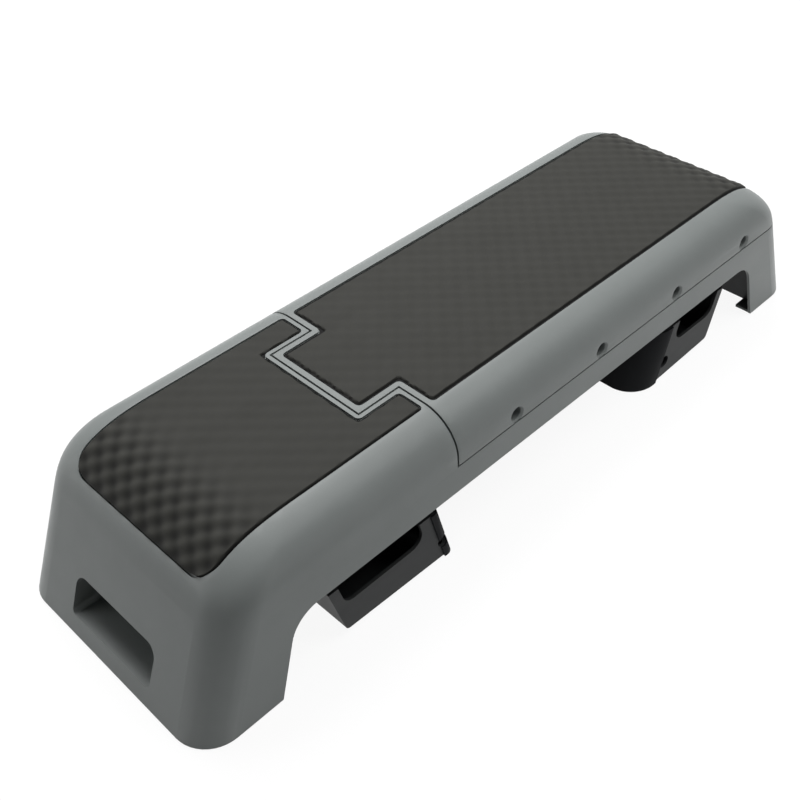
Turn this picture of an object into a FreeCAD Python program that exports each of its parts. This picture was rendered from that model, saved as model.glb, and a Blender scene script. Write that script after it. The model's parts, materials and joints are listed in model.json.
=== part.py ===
"""Aerobic step deck: a hollow bench with a seat, a tilting backrest over a storage tray, and folding legs.

Millimetres and degrees. X runs along the deck with the seat end at -X, Y runs across it, Z is up, and the
origin lies on the floor under the middle of the deck.
"""
import FreeCAD, Part
import math
import os
import re
import Sketcher

# Driving dimensions: name, value, what it measures.
DIMENSIONS = (
    ("body_length", 1100.0, "length of the deck at the floor"),
    ("body_width", 332.0, "width of the deck at the floor"),
    ("body_height", 200.0, "height of the hard top above the floor"),
    ("side_slope", 0.046, "inward lean of the long sides, per unit of height"),
    ("end_slope", 0.39, "inward lean of the two ends, per unit of height"),
    ("side_round", 50.0, "radius of the long upper edges"),
    ("end_round", 100.0, "radius of the roll at each end"),
    ("corner_round", 44.0, "plan radius of the upright corners"),
    ("shell_wall", 4.0, "wall of the grey shells"),
    ("top_wall", 7.0, "thickness of their top"),
    ("foot_clearance", 2.0, "height of the shell's rim above the floor"),
    ("foot_length", 104.0, "length of each foot at the floor"),
    ("foot_slope", 0.32, "lean of each foot's inner edge"),
    ("arch_height", 103.0, "underside of the side rails"),
    ("arch_round", 40.0, "radius between foot and rail"),
    ("sole_width", 25.0, "width of the flange under each foot"),
    ("sole_thickness", 4.0, "thickness of that flange"),
    ("pad_inset", 3.0, "foot pad's edge from the shell's outside"),
    ("pad_width", 19.0, "width of the rubber foot pad"),
    ("seam_height", 139.5, "middle of the gap between rail and backrest"),
    ("seam_gap", 2.0, "height of that gap"),
    ("part_gap", 2.5, "gap between seat and backrest on top"),
    ("seat_length", 373.5, "seat end to the shoulders of the backrest"),
    ("tongue_length", 60.0, "reach of the backrest's tongue into the seat"),
    ("tongue_width", 140.0, "width of the tongue"),
    ("tongue_depth", 35.0, "depth of the tongue"),
    ("pocket_depth", 48.0, "depth of the seat's pocket under the tongue"),
    ("hinge_setback", 26.0, "backrest hinge behind the tongue's tip"),
    ("hinge_depth", 10.5, "backrest hinge below the top"),
    ("hinge_pin_diameter", 8.0, "backrest hinge pin"),
    ("hinge_pin_length", 188.0, "its length"),
    ("hinge_block_size", 22.0, "width and depth of the blocks around the pin"),
    ("hinge_block_reach", 100.0, "outer face of the seat's blocks from the middle"),
    ("bush_wall", 2.0, "wall of the pivot bushes"),
    ("bush_length", 24.0, "length of the backrest bushes"),
    ("pin_fit", 0.05, "radial running clearance of pins"),
    ("seat_fit", 0.2, "clearance between pieces that seat on each other"),
    ("ledge_depth", 14.0, "rail ledge that carries the tray, from the outside"),
    ("ledge_top", 132.0, "top of that ledge"),
    ("ledge_thickness", 4.0, "thickness of the ledge"),
    ("tray_gap", 1.2, "gap between ledge and tray"),
    ("tray_wall", 3.0, "wall of the storage tray"),
    ("tray_bottom", 100.5, "underside of the storage tray"),
    ("tray_screw_diameter", 4.0, "tray screws"),
    ("screw_head_diameter", 8.5, "heads of all screws"),
    ("screw_head_height", 2.4, "height of those heads"),
    ("tray_screw_inset", 9.0, "tray screws from the outside"),
    ("tray_screw_first", 118.0, "first tray screw behind the shoulders"),
    ("tray_screw_pitch", 165.0, "distance between tray screws"),
    ("bumper_diameter", 9.0, "rubber bumpers under the backrest"),
    ("bumper_offset", 60.0, "bumpers behind the tray screws"),
    ("well_depth", 13.0, "depth of the cups for the side screws"),
    ("well_diameter", 17.0, "bore of those cups"),
    ("well_flare", 2.5, "flare of their mouths"),
    ("well_floor", 2.0, "floor of those cups"),
    ("well_wall", 2.0, "wall of those cups"),
    ("well_height", 150.0, "their height above the floor"),
    ("well_first", 97.0, "first side screw behind the shoulders"),
    ("well_pitch", 155.6, "distance between side screws"),
    ("side_screw_diameter", 4.0, "side screws"),
    ("side_screw_length", 9.0, "their shank"),
    ("liner_top", 173.0, "upper face of the backrest liner"),
    ("liner_wall", 3.0, "wall of the backrest liner"),
    ("liner_bottom", 142.0, "lower edge of the liner's flanges"),
    ("mat_depth", 2.6, "recess of the mats"),
    ("mat_proud", 0.8, "mats above the grey top"),
    ("glue_fit", 0.1, "glue line under the mats and the sole caps"),
    ("mat_half_width", 114.0, "mats' edge from the middle"),
    ("mat_border", 7.0, "grey border of the backrest mat"),
    ("seat_mat_border", 5.0, "grey border of the seat mat"),
    ("mat_end_setback", 72.0, "mats' end edges from the ends of the deck"),
    ("mat_corner", 24.0, "corner radius at the mats' end edges"),
    ("mat_notch_corner", 6.0, "corner radius of their other corners"),
    ("grip_width", 140.0, "grip slot across"),
    ("grip_height", 50.0, "grip slot upright"),
    ("grip_bottom", 23.0, "lower edge of the slot"),
    ("grip_top_corner", 15.0, "radius of the slot's upper corners"),
    ("grip_low_corner", 6.0, "radius of its lower corners"),
    ("grip_reach", 80.0, "inner wall of the slot from the end of the deck"),
    ("rib_thickness", 3.0, "ribs under the seat"),
    ("rib_bottom", 116.0, "lower edge of those ribs"),
    ("rib_first", 78.0, "first rib from the seat end"),
    ("rib_pitch", 72.0, "distance between ribs"),
    ("pivot_setback", 103.0, "leg pivot from the end of the deck"),
    ("pivot_height", 80.0, "leg pivot above the floor"),
    ("leg_pin_diameter", 10.0, "leg pivot pins"),
    ("leg_pin_end", 116.0, "end of those pins from the middle"),
    ("leg_lean", 15.5, "splay of the open legs"),
    ("leg_gap", 0.5, "clearance of the open leg under the foot"),
    ("leg_rise", 156.5, "height that an open leg adds"),
    ("leg_width", 308.0, "width of the legs"),
    ("leg_toe", 10.0, "folded leg above the floor at its pivot end"),
    ("leg_heel", 3.0, "folded leg above the floor at its sole"),
    ("leg_top", 86.0, "upper edge of the folded leg"),
    ("leg_wall", 4.0, "wall of the legs"),
    ("leg_toe_round", 7.0, "radius of the lower edge at the legs' pivot end"),
    ("near_leg_corner", 8.0, "corner radius at the near leg's sole"),
    ("far_leg_corner", 38.0, "corner radius at the far leg's sole"),
    ("leg_window_bottom", 53.0, "lower edge of the window in a leg's sides"),
    ("leg_window_front", 13.0, "upright beside that window at the pivot end"),
    ("leg_window_margin", 20.0, "upright between that window and the sole's round corner"),
    ("leg_window_round", 16.0, "radius of the window's lower corners"),
    ("finger_radius", 9.0, "finger notches beside the legs' soles"),
    ("near_leg_finger", 6.0, "their middle behind the near leg's sole"),
    ("far_leg_finger", 50.0, "their middle behind the far leg's sole"),
    ("finger_height", 30.0, "their height on the folded leg"),
    ("finger_length", 38.0, "their reach from the leg's side"),
    ("arm_inside", 85.0, "inner face of the leg arms from the middle"),
    ("arm_thickness", 12.0, "thickness of the arms"),
    ("arm_half_height", 13.0, "half height of the arms"),
    ("arm_round", 12.0, "radius of the arms' ends at the pivot"),
    ("bracket_gap", 3.0, "gap between arm and bracket"),
    ("bracket_thickness", 14.0, "thickness of the pivot brackets"),
    ("bracket_margin", 16.0, "bracket in front of the pivot"),
    ("bracket_below", 22.0, "bracket's foot on the end wall below the pivot"),
    ("bracket_above", 18.0, "its top there above the pivot"),
    ("bracket_nose", 14.0, "half height of the bracket's free end"),
    ("housing_setback", 20.0, "face of the pivot housings behind the feet's inner edges"),
    ("housing_wall", 4.0, "thickness of that face"),
    ("cap_wall", 2.0, "rubber caps over the legs' soles"),
    ("cap_margin", 4.0, "reach of those caps past the soles' round corners"),
    ("prop_place", 246.5, "prop pivot behind the backrest hinge"),
    ("prop_height", 160.0, "prop pivot above the floor"),
    ("prop_length", 288.5, "pivot to cross bar"),
    ("prop_rod", 10.0, "diameter of the prop's rod"),
    ("prop_half_width", 92.0, "prop arms from the middle"),
    ("prop_bend", 25.0, "radius of the prop's bends"),
    ("prop_eye_length", 12.0, "length of the eyes on the prop pin"),
    ("prop_eye_wall", 3.5, "wall of those eyes"),
    ("prop_pin_diameter", 8.0, "prop pin"),
    ("prop_pin_end", 115.0, "its end from the middle"),
    ("prop_turn", 2.15, "turn of the prop per turn of the backrest"),
    ("prop_block_depth", 24.0, "length of the prop brackets"),
    ("prop_block_bottom", 148.0, "lower face of those brackets"),
    ("sleeve_wall", 1.95, "wall of the sleeve on the cross bar"),
    ("sleeve_half_length", 60.0, "half length of that sleeve"),
    ("rack_inside", 28.0, "inner face of the racks from the middle"),
    ("rack_width", 22.0, "width of each rack"),
    ("rack_height", 8.0, "height of each rack above the tray"),
    ("rack_margin", 24.0, "rack beyond its outer notches"),
    ("rack_dish", 1470.0, "radius of the racks' hollow top, which follows the prop's foot"),
    ("rack_gap", 0.6, "clearance of the prop's foot above that top"),
    ("notch_radius", 8.6, "radius of the notches"),
    ("notch_drop", 2.0, "middle of each notch below the prop's foot"),
)
# Backrest angles that have a notch.
NOTCH_TILTS = (40.0, 50.0, 60.0)
# Side screws and tray screws on each long side, ribs under the seat.
WELLS_PER_SIDE = 4
TRAY_SCREWS_PER_SIDE = 4
RIB_COUNT = 3
# Sections that shape the rounded top of a form.
ROUND_SECTIONS = 12
# How far cutting shapes run past what they cut.
OVERRUN = 10.0
CUT_TOP = 220.0
# How near two places are that count as one.
CLOSE = 1e-4
# Ring on which an outline's points lie before their formulas place them.
START_RING = 100.0

ALIASES = {alias for alias, _, _ in DIMENSIONS}
ALONG_X = FreeCAD.Rotation(FreeCAD.Vector(0, 1, 0), 90)
ALONG_Y = FreeCAD.Rotation(FreeCAD.Vector(1, 0, 0), -90)
ALONG_Z = FreeCAD.Rotation()
SIDES = (-1, 1)

# Places that several pieces share, as formulas of the driving dimensions.
SHOULDER = "(seat_length - body_length / 2)"
SEAT_EDGE = f"({SHOULDER} - part_gap / 2)"
BACK_EDGE = f"({SHOULDER} + part_gap / 2)"
TONGUE_TIP = f"({BACK_EDGE} - tongue_length)"
HINGE_X = f"({TONGUE_TIP} + hinge_setback)"
HINGE_Z = "(body_height - hinge_depth)"
RAIL_TOP = "(seam_height - seam_gap / 2)"
BACK_BOTTOM = "(seam_height + seam_gap / 2)"
TRAY_FLOOR = "(tray_bottom + tray_wall)"
TRAY_RIM = "(ledge_top + tray_wall)"
PIVOT_X = "(body_length / 2 - pivot_setback)"
LEG_FRONT = "(pivot_height + leg_gap)"
LEG_SOLE = f"({LEG_FRONT} + leg_rise)"
PROP_X = f"({HINGE_X} + prop_place)"
WELL_FACE = "(body_width / 2 - side_slope * well_height)"
LEDGE_FACE = "(body_width / 2 - side_slope * ledge_top)"
ARM_OUTSIDE = "(arm_inside + arm_thickness)"
BRACKET_INSIDE = f"({ARM_OUTSIDE} + bracket_gap)"
LINER_BOTTOM_FACE = "(liner_top - liner_wall)"

doc = FreeCAD.newDocument("step_deck")
sheet = doc.addObject("Spreadsheet::Sheet", "sizes")
for row, (alias, value, meaning) in enumerate(DIMENSIONS, 1):
    sheet.set(f"A{row}", meaning)
    sheet.set(f"B{row}", str(value))
    sheet.setAlias(f"B{row}", alias)
doc.recompute()
NODES = []


def mm(alias):
    """A driving dimension as a number."""
    return float(sheet.get(alias))


def formula(text):
    """A formula of driving dimensions, in the document's own names."""
    return re.sub(r"[a-z_]+", lambda word: _in_sheet(word.group()), str(text))


def _in_sheet(word):
    return f"sizes.{word}" if word in ALIASES else word


def bind(thing, **formulas):
    """Ties properties of an object to formulas; a double underscore stands for a dot."""
    for name, text in formulas.items():
        thing.setExpression(name.replace("__", "."), formula(text))
    return thing


def place(thing, x="0", y="0", z="0"):
    return bind(thing, Placement__Base__x=x, Placement__Base__y=y, Placement__Base__z=z)


def box(name, x, y, z):
    """A block between pairs of formulas."""
    block = doc.addObject("Part::Box", name)
    bind(block, Length=f"({x[1]}) - ({x[0]})", Width=f"({y[1]}) - ({y[0]})", Height=f"({z[1]}) - ({z[0]})")
    return place(block, x[0], y[0], z[0])


def rod(name, turn, radius, length, x="0", y="0", z="0"):
    """A round bar that starts at a point and runs along an axis."""
    bar = doc.addObject("Part::Cylinder", name)
    bar.Placement = FreeCAD.Placement(FreeCAD.Vector(), turn)
    bind(bar, Radius=radius, Height=length)
    return place(bar, x, y, z)


def cut(name, base, tool):
    result = doc.addObject("Part::Cut", name)
    result.Base = base
    result.Tool = tool
    return result


def fuse(name, pieces):
    result = doc.addObject("Part::MultiFuse", name)
    result.Shapes = pieces
    return result


def common(name, *pieces):
    result = doc.addObject("Part::MultiCommon", name)
    result.Shapes = list(pieces)
    return result


def group(name, pieces):
    """Identical pieces that share a node."""
    result = doc.addObject("Part::Compound", name)
    result.Links = pieces
    return result


def node(thing, label):
    """Marks an object as a finished sub-part."""
    thing.Label = label
    NODES.append(thing)
    return thing


def mirrored(name, source, normal):
    copy = doc.addObject("Part::Mirroring", name)
    copy.Source = source
    copy.Normal = normal
    return copy


def across(name, source):
    """A piece and its twin on the other long side, as one object."""
    return group(name, [source, mirrored(name + "_twin", source, FreeCAD.Vector(0, 1, 0))])


def outline_body(name, plane_role, points, length, rounds=(), symmetric=True):
    """A straight-sided outline drawn on one of the body's planes and padded.

    Each of the rounds names corners of the outline and the radius that they get.
    """
    body = doc.addObject("PartDesign::Body", name)
    sketch = body.newObject("Sketcher::SketchObject", name + "_outline")
    plane = next(item for item in body.Origin.OriginFeatures if item.Role == plane_role)
    sketch.AttachmentSupport = (plane, [""])
    sketch.MapMode = "FlatFace"
    count = len(points)
    start = [polar(index, count) for index in range(count)]
    for index in range(count):
        sketch.addGeometry(Part.LineSegment(start[index], start[(index + 1) % count]), False)
    for index in range(count):
        sketch.addConstraint(Sketcher.Constraint("Coincident", index, 2, (index + 1) % count, 1))
    for index, (across_text, up_text) in enumerate(points):
        for kind, first, text in (("DistanceX", start[index].x, across_text),
                                  ("DistanceY", start[index].y, up_text)):
            number = sketch.addConstraint(Sketcher.Constraint(kind, -1, 1, index, 1, first))
            sketch.setExpression(f"Constraints[{number}]", formula(text))
    pad = body.newObject("PartDesign::Pad", name + "_pad")
    pad.Profile = sketch
    pad.SideType = "Symmetric" if symmetric else "One side"
    bind(pad, Length=length)
    doc.recompute()
    for number, (corners, radius) in enumerate(rounds):
        round_edges(body, f"{name}_round_{number}", radius, rises_from(sketch, corners))
    return body


def polar(index, count):
    """Where an outline's point lies before its formulas place it."""
    return corner_point(START_RING, 360 * index / count)


def round_edges(body, name, radius, wanted):
    """Rounds the edges of a body's last feature that pass a test."""
    base = body.Tip
    numbers = [number for number, edge in enumerate(base.Shape.Edges, 1) if wanted(edge)]
    fillet = body.newObject("PartDesign::Fillet", name)
    fillet.Base = (base, [f"Edge{number}" for number in numbers])
    bind(fillet, Radius=radius)
    doc.recompute()


def rises_from(sketch, corners):
    """A test for the edges that rise from some points of a padded outline."""
    normal = sketch.Placement.Rotation.multVec(FreeCAD.Vector(0, 0, 1))
    points = [sketch.Placement.multVec(sketch.Geometry[corner].StartPoint) for corner in corners]

    def test(edge):
        first, last = edge.Vertexes[0].Point, edge.Vertexes[-1].Point
        along = last - first
        upright = along.Length > CLOSE and along.cross(normal).Length < CLOSE
        return upright and any((first - point).cross(normal).Length < CLOSE for point in points)
    return test


def half_size(height, slope, radius, base, level):
    """Half size of a section at one level: a leaning wall, then a round up to the top."""
    lean = math.atan(slope)
    tangent = height - radius * (1 - math.sin(lean))
    if level <= tangent:
        return base - slope * level
    centre = base - slope * tangent - radius * math.cos(lean)
    return centre + math.sqrt(max(radius ** 2 - (level - height + radius) ** 2, 0))


def section(half_x, half_y, radius, level):
    """A rounded rectangle at one level."""
    edges = []
    corners = ((1, 1), (-1, 1), (-1, -1), (1, -1))
    for number, (sign_x, sign_y) in enumerate(corners):
        centre = FreeCAD.Vector(sign_x * (half_x - radius), sign_y * (half_y - radius), level)
        first, middle, last = (centre + corner_point(radius, 90 * number + turn) for turn in (0, 45, 90))
        edges.append(Part.Arc(first, middle, last).toShape())
        next_x, next_y = corners[(number + 1) % 4]
        next_centre = FreeCAD.Vector(next_x * (half_x - radius), next_y * (half_y - radius), level)
        edges.append(Part.makeLine(last, next_centre + corner_point(radius, 90 * number + 90)))
    return Part.Wire(edges)


def corner_point(radius, degrees):
    turn = math.radians(degrees)
    return FreeCAD.Vector(radius * math.cos(turn), radius * math.sin(turn), 0)


def form(name, inset=0.0, roof=None, floor=0.0):
    """The deck's outer form, drawn in by an inset: leaning walls below, a rounded top above.

    Its sections are rounded rectangles, so the long sides and the ends run into each other smoothly.
    """
    height = mm("body_height") - (inset if roof is None else roof)
    side, end = mm("side_slope"), mm("end_slope")
    side_round, end_round = mm("side_round") - inset, mm("end_round") - inset
    half_width = mm("body_width") / 2 - inset * math.hypot(1, side)
    half_length = mm("body_length") / 2 - inset * math.hypot(1, end)
    tangents = (height - radius * (1 - math.sin(math.atan(slope)))
                for radius, slope in ((side_round, side), (end_round, end)))
    spring = min(tangents)

    def ring(level):
        return section(half_size(height, end, end_round, half_length, level),
                       half_size(height, side, side_round, half_width, level),
                       mm("corner_round") - inset, level)
    lower = Part.makeLoft([ring(floor), ring(spring)], True, True)
    levels = [spring + (height - spring) * math.sin(math.pi / 2 * step / ROUND_SECTIONS)
              for step in range(ROUND_SECTIONS + 1)]
    upper = Part.makeLoft([ring(level) for level in levels], True, False)
    feature = doc.addObject("Part::Feature", name)
    feature.Shape = lower.fuse(upper)
    return feature


def ends(text):
    """A range about the middle."""
    return (f"-({text})", text)


EVERY_X = ends("body_length")
EVERY_Y = ends("body_width")
outer = form("outer_form", floor=mm("foot_clearance"))
inner = form("inner_form", mm("shell_wall"), mm("top_wall"))
mat_bed = form("mat_bed", mm("mat_depth"))
casing = cut("casing", outer, inner)


def arch(name, grow):
    """The open space under the rails between the two feet, grown by a wall."""
    foot = f"(body_length / 2 - foot_length + {grow} * sqrt(1 + foot_slope ^ 2))"
    top = f"(arch_height + {grow})"
    edge = f"({foot} - foot_slope * {top})"
    low = f"({foot} + foot_slope * {OVERRUN})"
    points = [(f"-{low}", -OVERRUN), (low, -OVERRUN), (edge, top), (f"-{edge}", top)]
    return outline_body(name, "XZ_Plane", points, "2 * body_width", [((2, 3), f"arch_round + {grow}")])


def mat_outline(name, border, grow, seat):
    """Plan of a mat, grown by a clearance, as a tall prism."""
    half = f"(mat_half_width + {grow})"
    end = f"(body_length / 2 - mat_end_setback + {grow})"
    if seat:
        shoulder = f"({SEAT_EDGE} - {border} + {grow})"
        tip = f"({TONGUE_TIP} - part_gap - {border} + {grow})"
        tongue = f"(tongue_width / 2 + part_gap + {border} - {grow})"
        end = f"-{end}"
    else:
        shoulder = f"({BACK_EDGE} + {border} - {grow})"
        tip = f"({TONGUE_TIP} + {border} - {grow})"
        tongue = f"(tongue_width / 2 - {border} + {grow})"
    points = [(end, f"-{half}"), (shoulder, f"-{half}"), (shoulder, f"-{tongue}"), (tip, f"-{tongue}"),
              (tip, tongue), (shoulder, tongue), (shoulder, half), (end, half)]
    return outline_body(name, "XY_Plane", points, 2 * CUT_TOP,
                        [((0, 7), "mat_corner"), (range(1, 7), "mat_notch_corner")])


def mat_recess(name, border, seat):
    """What the shell loses above the bed of a mat."""
    return cut(name, mat_outline(name + "_plan", border, "seat_fit", seat), mat_bed)


def grip(name, grow, depth, side):
    """The block of a grip slot, grown by a wall, at one end of the deck."""
    half = f"(grip_width / 2 + {grow})"
    low, high = f"(grip_bottom - {grow})", f"(grip_bottom + grip_height + {grow})"
    points = [(f"-{half}", low), (half, low), (half, high), (f"-{half}", high)]
    rounds = [((0, 1), f"grip_low_corner + {grow}"), ((2, 3), f"grip_top_corner + {grow}")]
    block = outline_body(name, "YZ_Plane", points, f"grip_reach + {depth} + {OVERRUN}", rounds, False)
    start = f"body_length / 2 - grip_reach - {depth}"
    return place(block, start if side > 0 else f"-body_length / 2 - {OVERRUN}")


def hinge_blocks():
    """Blocks under the seat that hold the ends of the backrest's hinge pin."""
    half = "hinge_block_size / 2"
    block = box("hinge_block", (f"{HINGE_X} - {half}", f"{HINGE_X} + {half}"),
                ("tongue_width / 2 + part_gap", "hinge_block_reach"), (f"{HINGE_Z} - {half}", "body_height"))
    return across("hinge_blocks", block)


def hinge_bore(name, radius, half_length):
    return rod(name, ALONG_Y, radius, f"2 * ({half_length})", HINGE_X, f"-({half_length})", HINGE_Z)


def seat_ribs():
    """Ribs that stiffen the top of the seat."""
    ribs = []
    for number in range(RIB_COUNT):
        start = f"rib_first + {number} * rib_pitch - body_length / 2"
        ribs.append(box(f"rib_{number}", (start, f"{start} + rib_thickness"), EVERY_Y,
                        ("rib_bottom", "body_height - mat_depth - shell_wall / 2")))
    return ribs


def base_shell():
    """Grey lower moulding: seat, side rails and both feet."""
    back_zone = box("backrest_zone", (SEAT_EDGE, "body_length"), EVERY_Y, (RAIL_TOP, CUT_TOP))
    lower = cut("lower_casing", casing, fuse("open_zones", [back_zone, arch("arch", "0")]))
    bulkhead = box("bulkhead", (f"{SEAT_EDGE} - shell_wall", SEAT_EDGE), EVERY_Y, ("arch_height", CUT_TOP))
    half = "(tongue_width / 2 + part_gap)"
    tip = f"({TONGUE_TIP} - part_gap)"
    floor = "(body_height - pocket_depth)"
    pocket_block = box("pocket_block", (f"{tip} - shell_wall", SEAT_EDGE), ends(f"{half} + shell_wall"),
                       (f"{floor} - shell_wall", CUT_TOP))
    pocket = box("pocket", (tip, BACK_EDGE), ends(half), (floor, CUT_TOP))
    cups = [grip(f"grip_cup_{side}", "shell_wall", "shell_wall", side) for side in SIDES]
    inside = common("base_inside", outer,
                    fuse("base_blocks", [bulkhead, pocket_block, hinge_blocks(), *cups, *seat_ribs()]))
    skin = form("wall_middle", mm("shell_wall") / 2)
    ledge = common("ledge", cut("ledge_ring", skin, form("ledge_edge", mm("ledge_depth"))),
                   box("ledge_zone", (SEAT_EDGE, "body_length"), EVERY_Y,
                       ("ledge_top - ledge_thickness", "ledge_top")))
    sole_ring = cut("sole_ring", skin, form("sole_edge", mm("sole_width")))
    sole_z = ("foot_clearance", "foot_clearance + sole_thickness")
    feet = [box("near_sole_zone", ("-body_length", "foot_length - body_length / 2"), EVERY_Y, sole_z),
            box("far_sole_zone", ("body_length / 2 - foot_length", "body_length"), EVERY_Y, sole_z)]
    soles = common("soles", sole_ring, fuse("sole_zones", feet))
    solid = fuse("base_solid", [lower, inside, ledge, soles])
    slots = [grip(f"grip_slot_{side}", "0", "0", side) for side in SIDES]
    bore = hinge_bore("seat_hinge_bore", "hinge_pin_diameter / 2 + pin_fit",
                      "hinge_pin_length / 2 + seat_fit")
    holes = fuse("base_holes", [pocket, *slots, bore, mat_recess("seat_recess", "seat_mat_border", True),
                                tray_screws("ledge_hole", "pin_fit", False)])
    return node(cut("base_shell_cut", solid, holes), "base_shell")


def along_rail(first, pitch, number):
    """Place of one of a row of pieces behind the shoulders."""
    return f"({SHOULDER} + {first} + {number} * {pitch})"


def tray_screws(name, grow, heads):
    """Upright screws through the tray's rim into the ledge, or the holes for them."""
    middle = f"({LEDGE_FACE} - tray_screw_inset)"
    low = "(ledge_top - ledge_thickness)"
    pieces = []
    for number in range(TRAY_SCREWS_PER_SIDE):
        x = along_rail("tray_screw_first", "tray_screw_pitch", number)
        shank = rod(f"{name}_{number}", ALONG_Z, f"tray_screw_diameter / 2 + {grow}", f"{TRAY_RIM} - {low}",
                    x, middle, low)
        if heads:
            head = rod(f"{name}_head_{number}", ALONG_Z, "screw_head_diameter / 2", "screw_head_height",
                       x, middle, TRAY_RIM)
            shank = fuse(f"{name}_screw_{number}", [shank, head])
        pieces.append(shank)
    return across(name, group(name + "_row", pieces))


def tray():
    """Black storage tray, hung by its rim from the ledge in the rails."""
    wall_inset = mm("ledge_depth") + mm("tray_gap")
    start = f"({SEAT_EDGE} + seat_fit)"
    pan = common("tray_pan", form("tray_outside", wall_inset),
                 box("tray_zone", (start, "body_length"), EVERY_Y, ("tray_bottom", TRAY_RIM)))
    rim = common("tray_rim", form("rim_outside", mm("shell_wall") + mm("seat_fit")),
                 box("rim_zone", (start, "body_length"), EVERY_Y, ("ledge_top", TRAY_RIM)))
    hollow = common("tray_hollow", form("tray_inside", wall_inset + mm("tray_wall")),
                    box("hollow_zone", (f"{start} + tray_wall", "body_length"), EVERY_Y,
                        (TRAY_FLOOR, CUT_TOP)))
    solid = cut("tray_solid", fuse("tray_blank", [pan, rim]), hollow)
    node(cut("tray_cut", solid, tray_screws("tray_hole", "pin_fit", False)), "storage_tray")
    node(tray_screws("tray_screw", "0", True), "tray_screws")


def bumpers():
    """Rubber stops on the tray's rim that the backrest's liner lies on."""
    middle = f"({LEDGE_FACE} - well_depth - liner_wall / 2)"
    height = f"liner_bottom - seat_fit - {TRAY_RIM}"
    discs = []
    for number in range(TRAY_SCREWS_PER_SIDE - 1):
        x = f"{along_rail('tray_screw_first', 'tray_screw_pitch', number)} + bumper_offset"
        discs.append(rod(f"bumper_{number}", ALONG_Z, "bumper_diameter / 2", height, x, middle, TRAY_RIM))
    node(across("bumpers", group("bumper_row", discs)), "backrest_bumpers")


def mats():
    """Rubber mats glued into the recesses of seat and backrest."""
    face = form("mat_face", -mm("mat_proud"))
    skin = cut("mat_skin", face, form("mat_back", mm("mat_depth") - mm("glue_fit")))
    node(common("seat_mat_cut", skin, mat_outline("seat_mat_plan", "seat_mat_border", "0", True)), "seat_mat")
    node(common("back_mat_cut", skin, mat_outline("back_mat_plan", "mat_border", "0", False)), "backrest_mat")


def side_wells(name, radius, start, end):
    """Round bars across both long sides at the side screws, from one distance off the middle to another."""
    bars = [rod(f"{name}_{number}", ALONG_Y, radius, f"({end}) - ({start})",
                along_rail("well_first", "well_pitch", number), start, "well_height")
            for number in range(WELLS_PER_SIDE)]
    return across(name, group(name + "_row", bars))


def well_mouths():
    """Cones that flare the mouths of the side screws' cups."""
    radius = "(well_diameter / 2)"
    cones = []
    for number in range(WELLS_PER_SIDE):
        cone = doc.addObject("Part::Cone", f"well_mouth_{number}")
        cone.Placement = FreeCAD.Placement(FreeCAD.Vector(), ALONG_Y)
        bind(cone, Radius1=radius, Radius2=f"{radius} + 2 * well_flare", Height="2 * well_flare")
        cones.append(place(cone, along_rail("well_first", "well_pitch", number), f"{WELL_FACE} - well_flare",
                           "well_height"))
    return across("well_mouths", group("well_mouth_row", cones))


def backrest_zone(name, wall):
    """The space of the backrest with its tongue, drawn in by a wall."""
    deck = box(name + "_deck", (f"{BACK_EDGE} + {wall}", "body_length"), EVERY_Y,
               (BACK_BOTTOM if wall == "0" else "arch_height", CUT_TOP))
    low = "(body_height - tongue_depth)"
    tongue = box(name + "_tongue", (f"{TONGUE_TIP} + {wall}", f"{BACK_EDGE} + 2 * shell_wall"),
                 ends(f"tongue_width / 2 - {wall}"), (low if wall == "0" else f"{low} - {OVERRUN}", CUT_TOP))
    return fuse(name, [deck, tongue])


def backrest_shell():
    """Grey upper moulding: backrest with the tongue that carries its hinge."""
    blank = common("backrest_blank", outer, backrest_zone("backrest_outside", "0"))
    hollow = common("backrest_hollow", inner, backrest_zone("backrest_inside", "shell_wall"))
    half = "hinge_block_size / 2"
    boss = box("hinge_boss", (f"{HINGE_X} - {half}", f"{HINGE_X} + {half}"),
               ("tongue_width / 2 - bush_length", "tongue_width / 2 - shell_wall / 2"),
               (f"{HINGE_Z} - {half}", "body_height - mat_depth - shell_wall / 2"))
    floor = f"({WELL_FACE} - well_depth)"
    cups = common("well_cups", outer,
                  side_wells("well_cup", "well_diameter / 2 + well_wall", floor, "body_width / 2"))
    hollowed = cut("backrest_casing", blank, hollow)
    solid = fuse("backrest_solid", [hollowed, across("hinge_bosses", boss), cups])
    bore = hinge_bore("bush_bore", "hinge_pin_diameter / 2 + bush_wall + pin_fit",
                      "tongue_width / 2 + part_gap / 2")
    wells = side_wells("well", "well_diameter / 2", f"{floor} + well_floor", "body_width / 2")
    holes = side_wells("well_hole", "side_screw_diameter / 2 + pin_fit", f"{floor} - {OVERRUN}",
                       "body_width / 2")
    removed = fuse("backrest_holes", [bore, wells, well_mouths(), holes,
                                      mat_recess("back_recess", "mat_border", False)])
    node(cut("backrest_cut", solid, removed), "backrest_shell")


def liner():
    """Black pan that closes the backrest from below, held by the side screws."""
    lean = mm("side_slope") * (mm("well_height") - mm("liner_bottom"))
    inset = mm("well_depth") + mm("seat_fit") + lean
    start = f"({BACK_EDGE} + shell_wall + seat_fit)"
    blank = common("liner_blank", form("liner_outside", inset),
                   box("liner_zone", (start, "body_length"), EVERY_Y, ("liner_bottom", "liner_top")))
    hollow = common("liner_hollow", form("liner_inside", inset + mm("liner_wall")),
                    box("liner_space", (f"{start} + liner_wall", "body_length"), EVERY_Y,
                        ("tray_bottom", LINER_BOTTOM_FACE)))
    floor = f"({WELL_FACE} - well_depth)"
    holes = side_wells("liner_hole", "side_screw_diameter / 2 + pin_fit", f"{floor} - side_screw_length",
                       "body_width / 2")
    node(cut("liner_cut", cut("liner_pan", blank, hollow), holes), "backrest_liner")


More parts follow.
